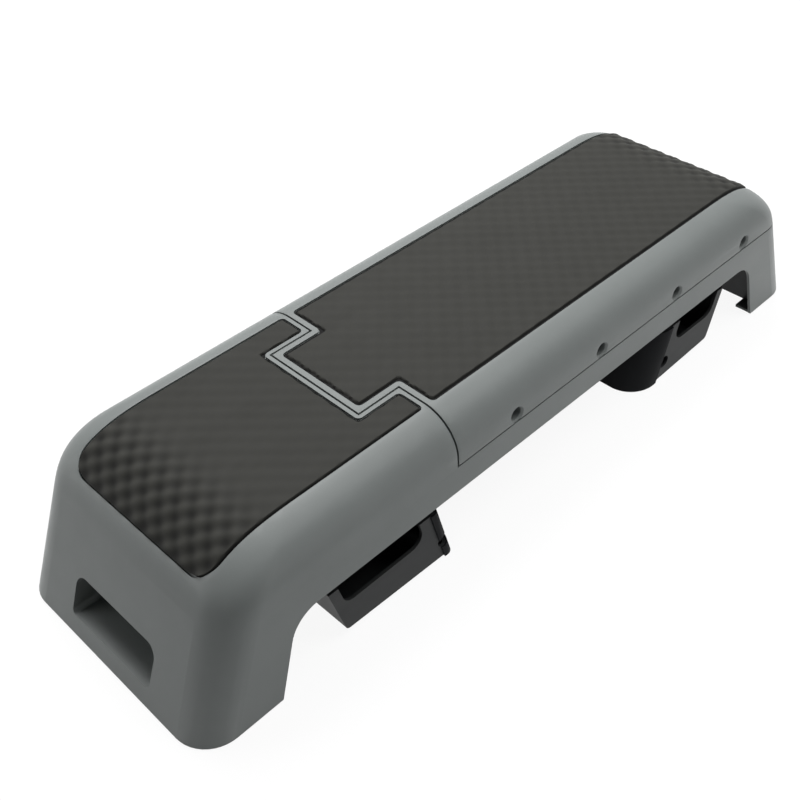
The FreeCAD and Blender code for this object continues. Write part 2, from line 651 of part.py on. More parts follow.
def side_screws():
    """Screws in the cups along both sides."""
    seat = f"({WELL_FACE} - well_depth + well_floor)"
    heads = side_wells("side_head", "screw_head_diameter / 2", seat, f"{seat} + screw_head_height")
    shanks = side_wells("side_shank", "side_screw_diameter / 2", f"{seat} - side_screw_length", seat)
    node(fuse("side_screw_set", [heads, shanks]), "backrest_screws")


def tube(name, radius, wall, length, x, y, z):
    """A short tube along Y."""
    outside = rod(name + "_outside", ALONG_Y, f"{radius} + {wall}", length, x, y, z)
    inside = rod(name + "_inside", ALONG_Y, radius, f"({length}) + 2 * {OVERRUN}", x, f"({y}) - {OVERRUN}", z)
    return cut(name, outside, inside)


def hinge():
    """Steel pin of the backrest with its two bushes."""
    node(hinge_bore("hinge_pin_rod", "hinge_pin_diameter / 2", "hinge_pin_length / 2"), "hinge_pin")
    bush = tube("hinge_bush", "(hinge_pin_diameter / 2 + pin_fit)", "(bush_wall - pin_fit)", "bush_length",
                HINGE_X, "tongue_width / 2 - bush_length", HINGE_Z)
    node(across("hinge_bush_pair", bush), "hinge_bushes")


def prop():
    """Steel prop under the backrest: a bent rod on a pin, with a sleeve on its cross bar."""
    half = "(prop_block_depth / 2)"
    block = box("prop_block", (f"{PROP_X} - {half}", f"{PROP_X} + {half}"),
                ("prop_half_width + prop_eye_length / 2 + bracket_gap", "prop_pin_end"),
                ("prop_block_bottom", f"{LINER_BOTTOM_FACE} - seat_fit"))
    hole = rod("prop_block_hole", ALONG_Y, "prop_pin_diameter / 2 + pin_fit", "body_width", PROP_X, "0",
               "prop_height")
    node(across("prop_blocks", cut("prop_block_bored", block, hole)), "prop_brackets")
    node(rod("prop_pin_rod", ALONG_Y, "prop_pin_diameter / 2", "2 * prop_pin_end", PROP_X, "-prop_pin_end",
             "prop_height"), "prop_pin")
    end = f"({PROP_X} + prop_length)"
    arm = rod("prop_arm", ALONG_X, "prop_rod / 2", "prop_length - prop_bend", PROP_X, "prop_half_width",
              "prop_height")
    bend = doc.addObject("Part::Torus", "prop_bend_arc")
    bend.Angle3 = 90
    bind(bend, Radius1="prop_bend", Radius2="prop_rod / 2")
    place(bend, f"{end} - prop_bend", "prop_half_width - prop_bend", "prop_height")
    bar = rod("prop_bar", ALONG_Y, "prop_rod / 2", "2 * (prop_half_width - prop_bend)", end,
              "prop_bend - prop_half_width", "prop_height")
    eye = rod("prop_eye", ALONG_Y, "prop_pin_diameter / 2 + pin_fit + prop_eye_wall", "prop_eye_length",
              PROP_X, "prop_half_width - prop_eye_length / 2", "prop_height")
    half_frame = fuse("prop_half", [arm, bend, eye])
    other_half = mirrored("prop_other_half", half_frame, FreeCAD.Vector(0, 1, 0))
    eye_hole = rod("prop_eye_hole", ALONG_Y, "prop_pin_diameter / 2 + pin_fit", "2 * body_width", PROP_X,
                   "-body_width", "prop_height")
    node(cut("prop_bored", fuse("prop_solid", [half_frame, other_half, bar]), eye_hole), "prop_frame")
    node(tube("sleeve", "(prop_rod / 2 + pin_fit)", "sleeve_wall", "2 * sleeve_half_length", end,
              "-sleeve_half_length", "prop_height"), "prop_sleeve")


def prop_foot(tilt):
    """Where the prop's cross bar comes to stand at one tilt of the backrest, along X and up."""
    drop = f"({HINGE_Z} - prop_height)"
    turn = f"((prop_turn - 1) * {tilt})"
    x = f"({HINGE_X} + prop_place * cos({tilt}) + {drop} * sin({tilt}) + prop_length * cos({turn}))"
    z = f"({HINGE_Z} + prop_place * sin({tilt}) - {drop} * cos({tilt}) - prop_length * sin({turn}))"
    return x, z


def racks():
    """Notched bars on the tray's floor, hollowed along the path of the prop's foot."""
    feet = [prop_foot(tilt) for tilt in NOTCH_TILTS]
    bar = box("rack_bar", (f"{feet[-1][0]} - rack_margin", f"{feet[0][0]} + rack_margin"),
              ("rack_inside", "rack_inside + rack_width"), (TRAY_FLOOR, f"{TRAY_FLOOR} + rack_height"))
    middle_x, middle_z = feet[len(feet) // 2]
    sleeve = "(prop_rod / 2 + pin_fit + sleeve_wall)"
    dish = rod("rack_dish_bar", ALONG_Y, "rack_dish", "body_width", middle_x, "0",
               f"{middle_z} - {sleeve} - rack_gap + rack_dish")
    notches = [rod(f"notch_{number}", ALONG_Y, "notch_radius", "body_width", x, "0", f"{z} - notch_drop")
               for number, (x, z) in enumerate(feet)]
    rack = cut("rack", bar, fuse("rack_cuts", [dish, *notches]))
    node(rack, "left_prop_rack")
    node(mirrored("rack_twin", rack, FreeCAD.Vector(0, 1, 0)), "right_prop_rack")


def sloped(side, reach, level):
    """X on a face of a leg: a distance from the pivot square to the sole, at one level of the folded leg."""
    run = f"(({reach}) - (({level}) - pivot_height) * sin(leg_lean)) / cos(leg_lean)"
    return f"{side} * ({PIVOT_X} - {run})"


def leg_outline(side, front_inset, sole_inset, toe, heel, top):
    """Side view of a folded leg: both ends drawn in, its underside at either end, its upper edge."""
    front = f"({LEG_FRONT} + {front_inset})"
    sole = f"({LEG_SOLE} - {sole_inset})"
    return [(sloped(side, front, toe), toe), (sloped(side, sole, heel), heel),
            (sloped(side, sole, top), top), (sloped(side, front, top), top)]


def leg_block(name, side, wall, top, corner):
    """A leg's outer form, drawn in by a wall, whose sole has round corners."""
    points = leg_outline(side, wall, wall, f"(leg_toe + {wall})", f"(leg_heel + {wall})", top)
    body = outline_body(name, "XZ_Plane", points, f"leg_width - 2 * {wall}",
                        [((0,), f"leg_toe_round - {wall}")])
    round_edges(body, name + "_corners", f"{corner} - {wall}", climbs_sole(body.Tip.Shape, side))
    return body


def climbs_sole(shape, side):
    """A test for the edges that climb along a leg's sole at its two sides."""
    extreme = max if side < 0 else min
    edge_x = extreme(point.X for point in shape.Vertexes)

    def test(edge):
        first, last = edge.Vertexes[0].Point, edge.Vertexes[-1].Point
        run = last - first
        steep = abs(run.z) > abs(run.x) and abs(run.y) < CLOSE
        return steep and abs(extreme(first.x, last.x) - edge_x) < CLOSE
    return test


def leg_arms(label, side):
    """The two ribs of a leg that reach from its sole to the pivot."""
    half_wall = "leg_wall / 2"
    front, sole = f"({LEG_FRONT} + {half_wall})", f"({LEG_SOLE} - {half_wall})"
    toe, heel = f"(leg_toe + {half_wall})", f"(leg_heel + {half_wall})"
    low, high = "(pivot_height - arm_half_height)", "(pivot_height + arm_half_height)"
    back = f"{side} * ({PIVOT_X} + arm_half_height)"
    points = [(back, low), (sloped(side, front, low), low), (sloped(side, front, toe), toe),
              (sloped(side, sole, heel), heel), (sloped(side, sole, "leg_top"), "leg_top"), (back, high)]
    arm = outline_body(f"{label}_arm", "XZ_Plane", points, "arm_thickness", [((0, 5), "arm_round")])
    return across(f"{label}_arms", place(arm, "0", "arm_inside + arm_thickness / 2"))


def leg(label, side):
    """One folding leg: a hollow boot with two arms to its pivot, its bushes and its sole cap."""
    above = f"(leg_top + {OVERRUN})"
    boot = leg_block(f"{label}_boot", side, "0", "leg_top", f"{label}_corner")
    hollow = leg_block(f"{label}_hollow", side, "leg_wall", above, f"{label}_corner")
    window_points = leg_outline(side, "leg_window_front", f"({label}_corner + leg_window_margin)",
                                "leg_window_bottom", "leg_window_bottom", above)
    window = outline_body(f"{label}_window", "XZ_Plane", window_points, "2 * leg_width",
                          [((0, 1), "leg_window_round")])
    finger_x = sloped(side, f"{LEG_SOLE} - {label}_finger", "finger_height")
    finger = rod(f"{label}_finger", ALONG_Y, "finger_radius", "leg_width", finger_x,
                 "leg_width / 2 - finger_length", "finger_height")
    fingers = across(f"{label}_fingers", finger)
    shell = cut(f"{label}_shell", boot, fuse(f"{label}_open", [hollow, window, fingers]))
    bore = rod(f"{label}_bore", ALONG_Y, "leg_pin_diameter / 2 + bush_wall + pin_fit", "2 * body_width",
               f"{side} * {PIVOT_X}", "-body_width", "pivot_height")
    solid = fuse(f"{label}_solid", [shell, leg_arms(label, side)])
    node(cut(f"{label}_cut", solid, bore), label)
    bush = tube(f"{label}_bush", "(leg_pin_diameter / 2 + pin_fit)", "(bush_wall - pin_fit)", "arm_thickness",
                f"{side} * {PIVOT_X}", "arm_inside", "pivot_height")
    node(across(f"{label}_bush_pair", bush), f"{label}_bushes")
    sole_cap(label, side, fingers)


def sole_cap(label, side, fingers):
    """Rubber cap that wraps a leg's sole, on which the open leg stands."""
    corner = f"{label}_corner"
    outside = leg_block(f"{label}_cap_outside", side, "(-cap_wall)", "leg_top", corner)
    inside = leg_block(f"{label}_cap_inside", side, "(-glue_fit)", f"(leg_top + {OVERRUN})", corner)
    reach = f"({LEG_SOLE} - {corner} - cap_margin)"
    beyond = f"({LEG_SOLE} + {OVERRUN})"
    points = [(sloped(side, reach, "0"), "0"), (sloped(side, beyond, "0"), "0"),
              (sloped(side, beyond, "leg_top"), "leg_top"), (sloped(side, reach, "leg_top"), "leg_top")]
    zone = outline_body(f"{label}_cap_zone", "XZ_Plane", points, "2 * leg_width")
    blank = common(f"{label}_cap_blank", outside, zone)
    node(cut(f"{label}_cap", blank, fuse(f"{label}_cap_open", [inside, fingers])), f"{label}_sole_cap")


def housing_faces():
    """Plates that close the feet towards the arch, drawn back from the feet's inner edges."""
    front = arch("housing_front", "housing_setback")
    plate = cut("housing_plate", arch("housing_back", "(housing_setback + housing_wall)"), front)
    zone = box("housing_zone", EVERY_X, (BRACKET_INSIDE, "body_width"),
               ("foot_clearance + sole_thickness + seat_fit", "tray_bottom - tray_gap"))
    return common("housing_faces", plate, zone, form("housing_skin", mm("shell_wall") + mm("seat_fit")))


def leg_mount(label, side, faces):
    """Pivot pin of a leg and the two brackets that hold it, each with its face, inside the foot."""
    wall = "(shell_wall * sqrt(1 + end_slope ^ 2) + seat_fit)"
    low, high = "(pivot_height - bracket_below)", "(pivot_height + bracket_above)"

    def back(level):
        return f"{side} * (body_length / 2 - end_slope * {level} - {wall})"
    front = f"{side} * ({PIVOT_X} - bracket_margin)"
    points = [(back(low), low), (front, "pivot_height - bracket_nose"),
              (front, "pivot_height + bracket_nose"), (back(high), high)]
    bracket = outline_body(f"{label}_bracket", "XZ_Plane", points, "bracket_thickness")
    place(bracket, "0", f"{BRACKET_INSIDE} + bracket_thickness / 2")
    half = box(f"{label}_half", ("0", "body_length") if side > 0 else ("-body_length", "0"), EVERY_Y, EVERY_Y)
    housing = fuse(f"{label}_housing", [bracket, common(f"{label}_face", faces, half)])
    hole = rod(f"{label}_bracket_hole", ALONG_Y, "leg_pin_diameter / 2 + pin_fit", "leg_pin_end + seat_fit",
               f"{side} * {PIVOT_X}", "0", "pivot_height")
    node(across(f"{label}_bracket_pair", cut(f"{label}_bracket_bored", housing, hole)), f"{label}_brackets")
    node(rod(f"{label}_pin_rod", ALONG_Y, "leg_pin_diameter / 2", "2 * leg_pin_end", f"{side} * {PIVOT_X}",
             "-leg_pin_end", "pivot_height"), f"{label}_pin")


def foot_pads():
    """Rubber strips round the underside of both feet."""
    inside = form("pad_inside", mm("pad_inset") + mm("pad_width"))
    ring = cut("pad_ring", form("pad_outside", mm("pad_inset")), inside)
    for label, span in (("near", ("-body_length", "foot_length - body_length / 2 - pad_inset")),
                        ("far", ("body_length / 2 - foot_length + pad_inset", "body_length"))):
        zone = box(f"{label}_pad_zone", span, EVERY_Y, ("0", "foot_clearance"))
        node(common(f"{label}_pad", ring, zone), f"{label}_foot_pad")


def export():
    """Checks every object, then writes each sub-part to its own file."""
    doc.recompute()
    broken = [item.Name for item in doc.Objects if {"Invalid", "Error"} & set(item.State)]
    bad = [item.Label for item in NODES if item.Shape.isNull() or not item.Shape.isValid()]
    if broken or bad:
        raise RuntimeError(f"broken objects {broken}, bad shapes {bad}")
    os.makedirs("parts", exist_ok=True)
    for item in NODES:
        item.Shape.exportStep(f"parts/{item.Label}.step")
        print(f"{item.Label}: {len(item.Shape.Solids)} solid(s), {item.Shape.Volume / 1000:.1f} cm3")


base_shell()
tray()
bumpers()
mats()
backrest_shell()
liner()
side_screws()
hinge()
prop()
racks()
pivot_faces = housing_faces()
for leg_label, leg_side in (("near_leg", -1), ("far_leg", 1)):
    leg(leg_label, leg_side)
    leg_mount(leg_label, leg_side, pivot_faces)
foot_pads()
export()
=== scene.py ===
"""Looks of the step deck: moulded grey shells, studded rubber mats, black folding legs, soft studio light.

Metres, in the part's own frame: X along the deck with the seat end at -X, Y across it, Z up.
"""
import json
import math

import bpy
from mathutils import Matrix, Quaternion, Vector
from mathutils.bvhtree import BVHTree

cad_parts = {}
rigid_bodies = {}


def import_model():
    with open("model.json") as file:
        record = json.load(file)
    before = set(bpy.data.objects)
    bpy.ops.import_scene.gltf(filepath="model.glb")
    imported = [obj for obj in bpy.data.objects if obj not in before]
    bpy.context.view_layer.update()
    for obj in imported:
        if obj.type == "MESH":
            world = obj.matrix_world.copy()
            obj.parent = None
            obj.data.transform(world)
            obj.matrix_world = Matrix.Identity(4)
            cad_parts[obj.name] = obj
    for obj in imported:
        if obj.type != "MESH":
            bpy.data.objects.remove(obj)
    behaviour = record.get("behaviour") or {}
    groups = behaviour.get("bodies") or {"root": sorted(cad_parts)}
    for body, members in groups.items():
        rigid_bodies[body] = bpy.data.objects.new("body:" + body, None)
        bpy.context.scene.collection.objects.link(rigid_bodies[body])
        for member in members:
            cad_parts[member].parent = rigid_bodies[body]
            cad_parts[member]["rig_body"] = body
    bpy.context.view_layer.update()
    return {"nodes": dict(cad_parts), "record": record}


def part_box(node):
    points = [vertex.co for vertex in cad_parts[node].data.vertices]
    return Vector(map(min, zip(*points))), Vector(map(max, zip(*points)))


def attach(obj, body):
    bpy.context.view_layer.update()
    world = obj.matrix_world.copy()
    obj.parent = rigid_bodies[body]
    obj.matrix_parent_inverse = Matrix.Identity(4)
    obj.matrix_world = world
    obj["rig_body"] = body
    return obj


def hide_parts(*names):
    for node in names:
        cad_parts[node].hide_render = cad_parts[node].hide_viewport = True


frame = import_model()
NODES = frame["nodes"]
SLOT_OF = {part["node"]: part["material_slot"] for part in frame["record"]["subparts"]}

# The camera, as fitted to the photograph's view.
CAMERA_PLACE = Vector((-0.78983, -0.70396, 0.97131))
CAMERA_AIM = Vector((-0.11305, -0.00708, 0.1))
CAMERA_ROLL = math.radians(-1.62)
CAMERA_LENS_MM = 48.876
SENSOR_MM = 36.0

# The deck's form: sloping ends that roll into the top, with the length taken down to the floor.
SHELL_LOW, SHELL_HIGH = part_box("base_shell")
END_SLOPE = 0.39
ROLL_RADIUS = 0.1
DECK_HALF_LENGTH = SHELL_HIGH.x + END_SLOPE * SHELL_LOW.z
DECK_HEIGHT = SHELL_HIGH.z
ROLL_AXIS_HEIGHT = DECK_HEIGHT - ROLL_RADIUS

# The mats' outlines on the deck, where their boxes don't give them.
MAT_END_CORNER = 0.024
MAT_CORNER = 0.006
SEAT_NOTCH_TIP = -0.24275
SEAT_NOTCH_HALF = 0.0775
BACK_SHOULDER = -0.16825
BACK_TONGUE_HALF = 0.063

# The mats' meshes, a little inside the outlines, on the solids' tops, which are found from above.
MAT_INSET = 0.0006
MAT_GRID = 0.0015
MAT_THICKNESS = 0.0032
MAT_SHARP_ANGLE = math.radians(50)
FIND_HEIGHT = 0.1

# The mats' relief: studs on a staggered grid, and a sunk edge that is wider between the studs.
MAT_VALLEY = 0.001
STUD_HEIGHT = 0.0024
FLAT_STUD_HEIGHT = 0.0012
STUD_PITCH = 0.026
EDGE_DEPTH = 0.0019
EDGE_WIDTH = 0.0024
EDGE_SLOPE = 0.0006
SEAT_SCALLOP = 0.0008
BACK_SCALLOP = 0.003

# The mats' wear and painted shade: even wear on the flat top; on the roll worn stud tops and valleys painted
# darker, and painted shade at the deck's end.
EVEN_START = 0.05
EVEN_FULL = -0.03
FLAT_SCUFF = 0.65
VALLEY_SHADED_LEVEL = 0.14
END_SHADE_WIDTH = 0.007

# The noise in the materials, the stops between which it changes a colour, and how strongly it shows.
MOTTLE = {"scale": 14.0, "detail": 6.0}
DUST = {"scale": 22.0, "detail": 6.0}
SMEAR = {"scale": 35.0, "detail": 5.0, "roughness": 0.65, "stretch": (0.35, 1.0, 1.0)}
GRAIN = {"detail": 2.0, "roughness": 0.5}
DRAWN_MARKS = {"scale": 300.0, "detail": 3.0, "stretch": (1.0, 0.05, 1.0)}
NOISE_STOPS = (0.3, 0.7)
DUST_RANGE = (0.86, 1.1)
GRAIN_STRENGTH = 0.6
DRAWN_SHADE = 0.9
DRAWN_STRENGTH = 0.3
DRAWN_DEPTH = 0.00005

# The rounds on the solids' hard edges, wider on some nodes.
ROUND_WIDTHS = {"base_shell": 0.0012, "backrest_shell": 0.0012, "near_leg": 0.002, "far_leg": 0.002}
SMALL_ROUND = 0.0004
ROUND_SEGMENTS = 3
HARD_EDGE_ANGLE = math.radians(35)
FLAT_FACE_ANGLE = math.radians(0.2)
WELD_DISTANCE = 1e-6

# The screws are black steel, a finish chosen to darken their wells as painted shade; the other nodes have
# the finish of their slot.
FINISHES = {"backrest_screws": "black_screw", "tray_screws": "black_screw"}

# The stage: a floor and a dim room that the camera sees almost white.
FLOOR_SIZE = 12.0
FLOOR_COLOUR = (0.5, 0.5, 0.5, 1)
FLOOR_OPENNESS = 0.75
BACKDROP_GLOW = 0.92
ROOM_LEVEL = 0.02
WHITE = (1, 1, 1, 1)

# The soft boxes: name, place, aim, size and power in watts.
LAMPS = (
    ("overhead_back", (0.5, 1.05, 2.2), (0, 0, 0.1), 1.7, 60),
    ("overhead_front", (0.8, -0.8, 2.2), (0, 0, 0.1), 1.5, 25),
    ("seat_end", (-2.0, 1.6, 0.9), (-0.5, 0, 0.1), 1.2, 14),
    ("long_side", (0.4, -2.6, 0.4), (0, 0, 0.1), 1.2, 9),
)


def empty_tree(owner):
    """The node tree of a material or world, with nothing in it."""
    owner.use_nodes = True
    owner.node_tree.nodes.clear()
    return owner.node_tree


def new_material(name):
    """A material with an empty node tree but for its shader and output."""
    material = bpy.data.materials.new(name)
    tree = empty_tree(material)
    shader = tree.nodes.new("ShaderNodeBsdfPrincipled")
    output = tree.nodes.new("ShaderNodeOutputMaterial")
    tree.links.new(shader.outputs["BSDF"], output.inputs["Surface"])
    return material, tree, shader


def noise(tree, scale, detail, roughness=0.6, stretch=None):
    """Noise over the piece's own coordinates; stretch scales the axes apart."""
    coordinates = tree.nodes.new("ShaderNodeTexCoord")
    texture = tree.nodes.new("ShaderNodeTexNoise")
    texture.inputs["Scale"].default_value = scale
    texture.inputs["Detail"].default_value = detail
    texture.inputs["Roughness"].default_value = roughness
    source = coordinates.outputs["Object"]
    if stretch:
        mapping = tree.nodes.new("ShaderNodeMapping")
        mapping.inputs["Scale"].default_value = stretch
        tree.links.new(source, mapping.inputs["Vector"])
        source = mapping.outputs["Vector"]
    tree.links.new(source, texture.inputs["Vector"])
    return texture.outputs["Fac"]


def ramp(tree, value, low, high, low_colour, high_colour):
    """Turns a value into a colour between two stops."""
    node = tree.nodes.new("ShaderNodeValToRGB")
    node.color_ramp.elements[0].position = low
    node.color_ramp.elements[1].position = high
    node.color_ramp.elements[0].color = (*low_colour, 1)
    node.color_ramp.elements[1].color = (*high_colour, 1)
    tree.links.new(value, node.inputs["Fac"])
    return node.outputs["Color"]


def spread(tree, value, low, high):
    """Maps a value from 0..1 to a range."""
    node = tree.nodes.new("ShaderNodeMapRange")
    node.inputs["To Min"].default_value = low
    node.inputs["To Max"].default_value = high
    tree.links.new(value, node.inputs["Value"])
    return node.outputs["Result"]


def bump(tree, height, strength, distance):
    """A bump whose full height is the given distance."""
    node = tree.nodes.new("ShaderNodeBump")
    node.inputs["Strength"].default_value = strength
    node.inputs["Distance"].default_value = distance
    tree.links.new(height, node.inputs["Height"])
    return node.outputs["Normal"]


def attribute(tree, name):
    """A number that the mesh holds at each of its points."""
    node = tree.nodes.new("ShaderNodeAttribute")
    node.attribute_name = name
    return node.outputs["Fac"]


def combined(tree, operation, first, second):
    """Two values, or a value and a plain number, taken together."""
    node = tree.nodes.new("ShaderNodeMath")
    node.operation = operation
    tree.links.new(first, node.inputs[0])
    if isinstance(second, float):
        node.inputs[1].default_value = second
    else:
        tree.links.new(second, node.inputs[1])
    return node.outputs[0]


def mixed(tree, share, first, second):
    """Two shaders mixed, from all of the first at share 0 to all of the second at 1."""
    node = tree.nodes.new("ShaderNodeMixShader")
    tree.links.new(share, node.inputs["Fac"])
    tree.links.new(first.outputs[0], node.inputs[1])
    tree.links.new(second.outputs[0], node.inputs[2])
    return node.outputs[0]


def scaled(colour, factor):
    """A colour made darker or lighter by a factor."""
    return tuple(channel * factor for channel in colour)


def cast_surface(tree, shader, gloss, grain_size, grain_depth, specular):
    """Gives a shader the uneven gloss and the fine grain of a cast piece."""
    smear = noise(tree, **SMEAR)
    tree.links.new(spread(tree, smear, *gloss), shader.inputs["Roughness"])
    grain = noise(tree, 1 / grain_size, **GRAIN)
    tree.links.new(bump(tree, grain, GRAIN_STRENGTH, grain_depth), shader.inputs["Normal"])
    shader.inputs["Specular IOR Level"].default_value = specular


def moulded(name, colour, variation, **surface):
    """Moulded plastic or rubber with a mottled colour."""
    material, tree, shader = new_material(name)
    mottle = noise(tree, **MOTTLE)
    tint = ramp(tree, mottle, *NOISE_STOPS, scaled(colour, 1 - variation), scaled(colour, 1 + variation))
    tree.links.new(tint, shader.inputs["Base Color"])
    cast_surface(tree, shader, **surface)
    return material


def rubber_worn_and_shaded(name, dark_colour, pale_colour, **surface):
    """Moulded rubber that goes from a dark to a pale colour by the number its mesh holds: worn rubber is
    paler, and valleys, sunk edges and the deck's end strip are darker as painted shade.
    """
    material, tree, shader = new_material(name)
    dust = spread(tree, noise(tree, **DUST), *DUST_RANGE)
    pale_share = combined(tree, "MULTIPLY", attribute(tree, "wear_and_shade"), dust)
    tree.links.new(ramp(tree, pale_share, 0.0, 1.0, dark_colour, pale_colour), shader.inputs["Base Color"])
    cast_surface(tree, shader, **surface)
    return material


def metal(name, colour, gloss):
    """Metal with fine drawing marks."""
    material, tree, shader = new_material(name)
    marks = noise(tree, **DRAWN_MARKS)
    tint = ramp(tree, marks, *NOISE_STOPS, scaled(colour, DRAWN_SHADE), colour)
    tree.links.new(tint, shader.inputs["Base Color"])
    tree.links.new(spread(tree, marks, *gloss), shader.inputs["Roughness"])
    tree.links.new(bump(tree, marks, DRAWN_STRENGTH, DRAWN_DEPTH), shader.inputs["Normal"])
    shader.inputs["Metallic"].default_value = 1.0
    return material


MATERIALS = {
    "grey_plastic": moulded("grey_plastic", colour=(0.187, 0.203, 0.199), variation=0.035, gloss=(0.4, 0.54),
                            grain_size=0.0007, grain_depth=0.00006, specular=0.34),
    "black_plastic": moulded("black_plastic", colour=(0.026, 0.0275, 0.028), variation=0.08,
                             gloss=(0.46, 0.62), grain_size=0.0007, grain_depth=0.00007, specular=0.16),
    "mat_rubber": rubber_worn_and_shaded("mat_rubber", dark_colour=(0.004, 0.004, 0.004), pale_colour=(0.055, 0.055, 0.0495),
                                 gloss=(0.55, 0.7), grain_size=0.0008, grain_depth=0.00012, specular=0.1),
    "pad_rubber": moulded("pad_rubber", colour=(0.009, 0.0095, 0.0105), variation=0.12, gloss=(0.65, 0.85),
                          grain_size=0.001, grain_depth=0.0001, specular=0.1),
    "steel": metal("steel", colour=(0.55, 0.55, 0.54), gloss=(0.25, 0.4)),
    "black_screw": metal("black_screw", colour=(0.03, 0.03, 0.03), gloss=(0.4, 0.55)),
    "nylon": moulded("nylon", colour=(0.62, 0.6, 0.54), variation=0.03, gloss=(0.4, 0.55),
                     grain_size=0.0008, grain_depth=0.00004, specular=0.5),
}


def soften(piece, width):
    """Rounds a solid's hard edges by a small radius, with the flat faces kept flat."""
    weld = piece.modifiers.new("weld", "WELD")
    weld.merge_threshold = WELD_DISTANCE
    flat = piece.modifiers.new("flat", "DECIMATE")
    flat.decimate_type = "DISSOLVE"
    flat.angle_limit = FLAT_FACE_ANGLE
    edge = piece.modifiers.new("edge", "BEVEL")
    edge.width = width
    edge.segments = ROUND_SEGMENTS
    edge.limit_method = "ANGLE"
    edge.angle_limit = HARD_EDGE_ANGLE
    edge.harden_normals = True


for node_name, node_object in NODES.items():
    node_object.data.materials.clear()
    node_object.data.materials.append(MATERIALS[FINISHES.get(node_name, SLOT_OF[node_name])])
    soften(node_object, ROUND_WIDTHS.get(node_name, SMALL_ROUND))


def ease(share):
    """A smooth step from 0 to 1."""
    share = min(max(share, 0.0), 1.0)
    return share * share * (3 - 2 * share)


def stud(run, across):
    """Height of the staggered studs at one spot, from 0 between them to 1 on top."""
    first = math.cos(2 * math.pi * (run + across) / STUD_PITCH)
    second = math.cos(2 * math.pi * (run - across) / STUD_PITCH)
    return (2 + first + second) / 4


def in_fillet(along, aside):
    """Whether a spot lies in the small round of an inner corner, by its distances from the two edges."""
    if not (0 < along < MAT_CORNER and 0 < aside < MAT_CORNER):
        return False
    return math.hypot(MAT_CORNER - along, MAT_CORNER - aside) > MAT_CORNER


def roll_centre():
    """How far the axis of each end's roll lies from the middle of the deck."""
    lean = math.atan(END_SLOPE)
    tangent = DECK_HEIGHT - ROLL_RADIUS * (1 - math.sin(lean))
    return DECK_HALF_LENGTH - END_SLOPE * tangent - ROLL_RADIUS * math.cos(lean)


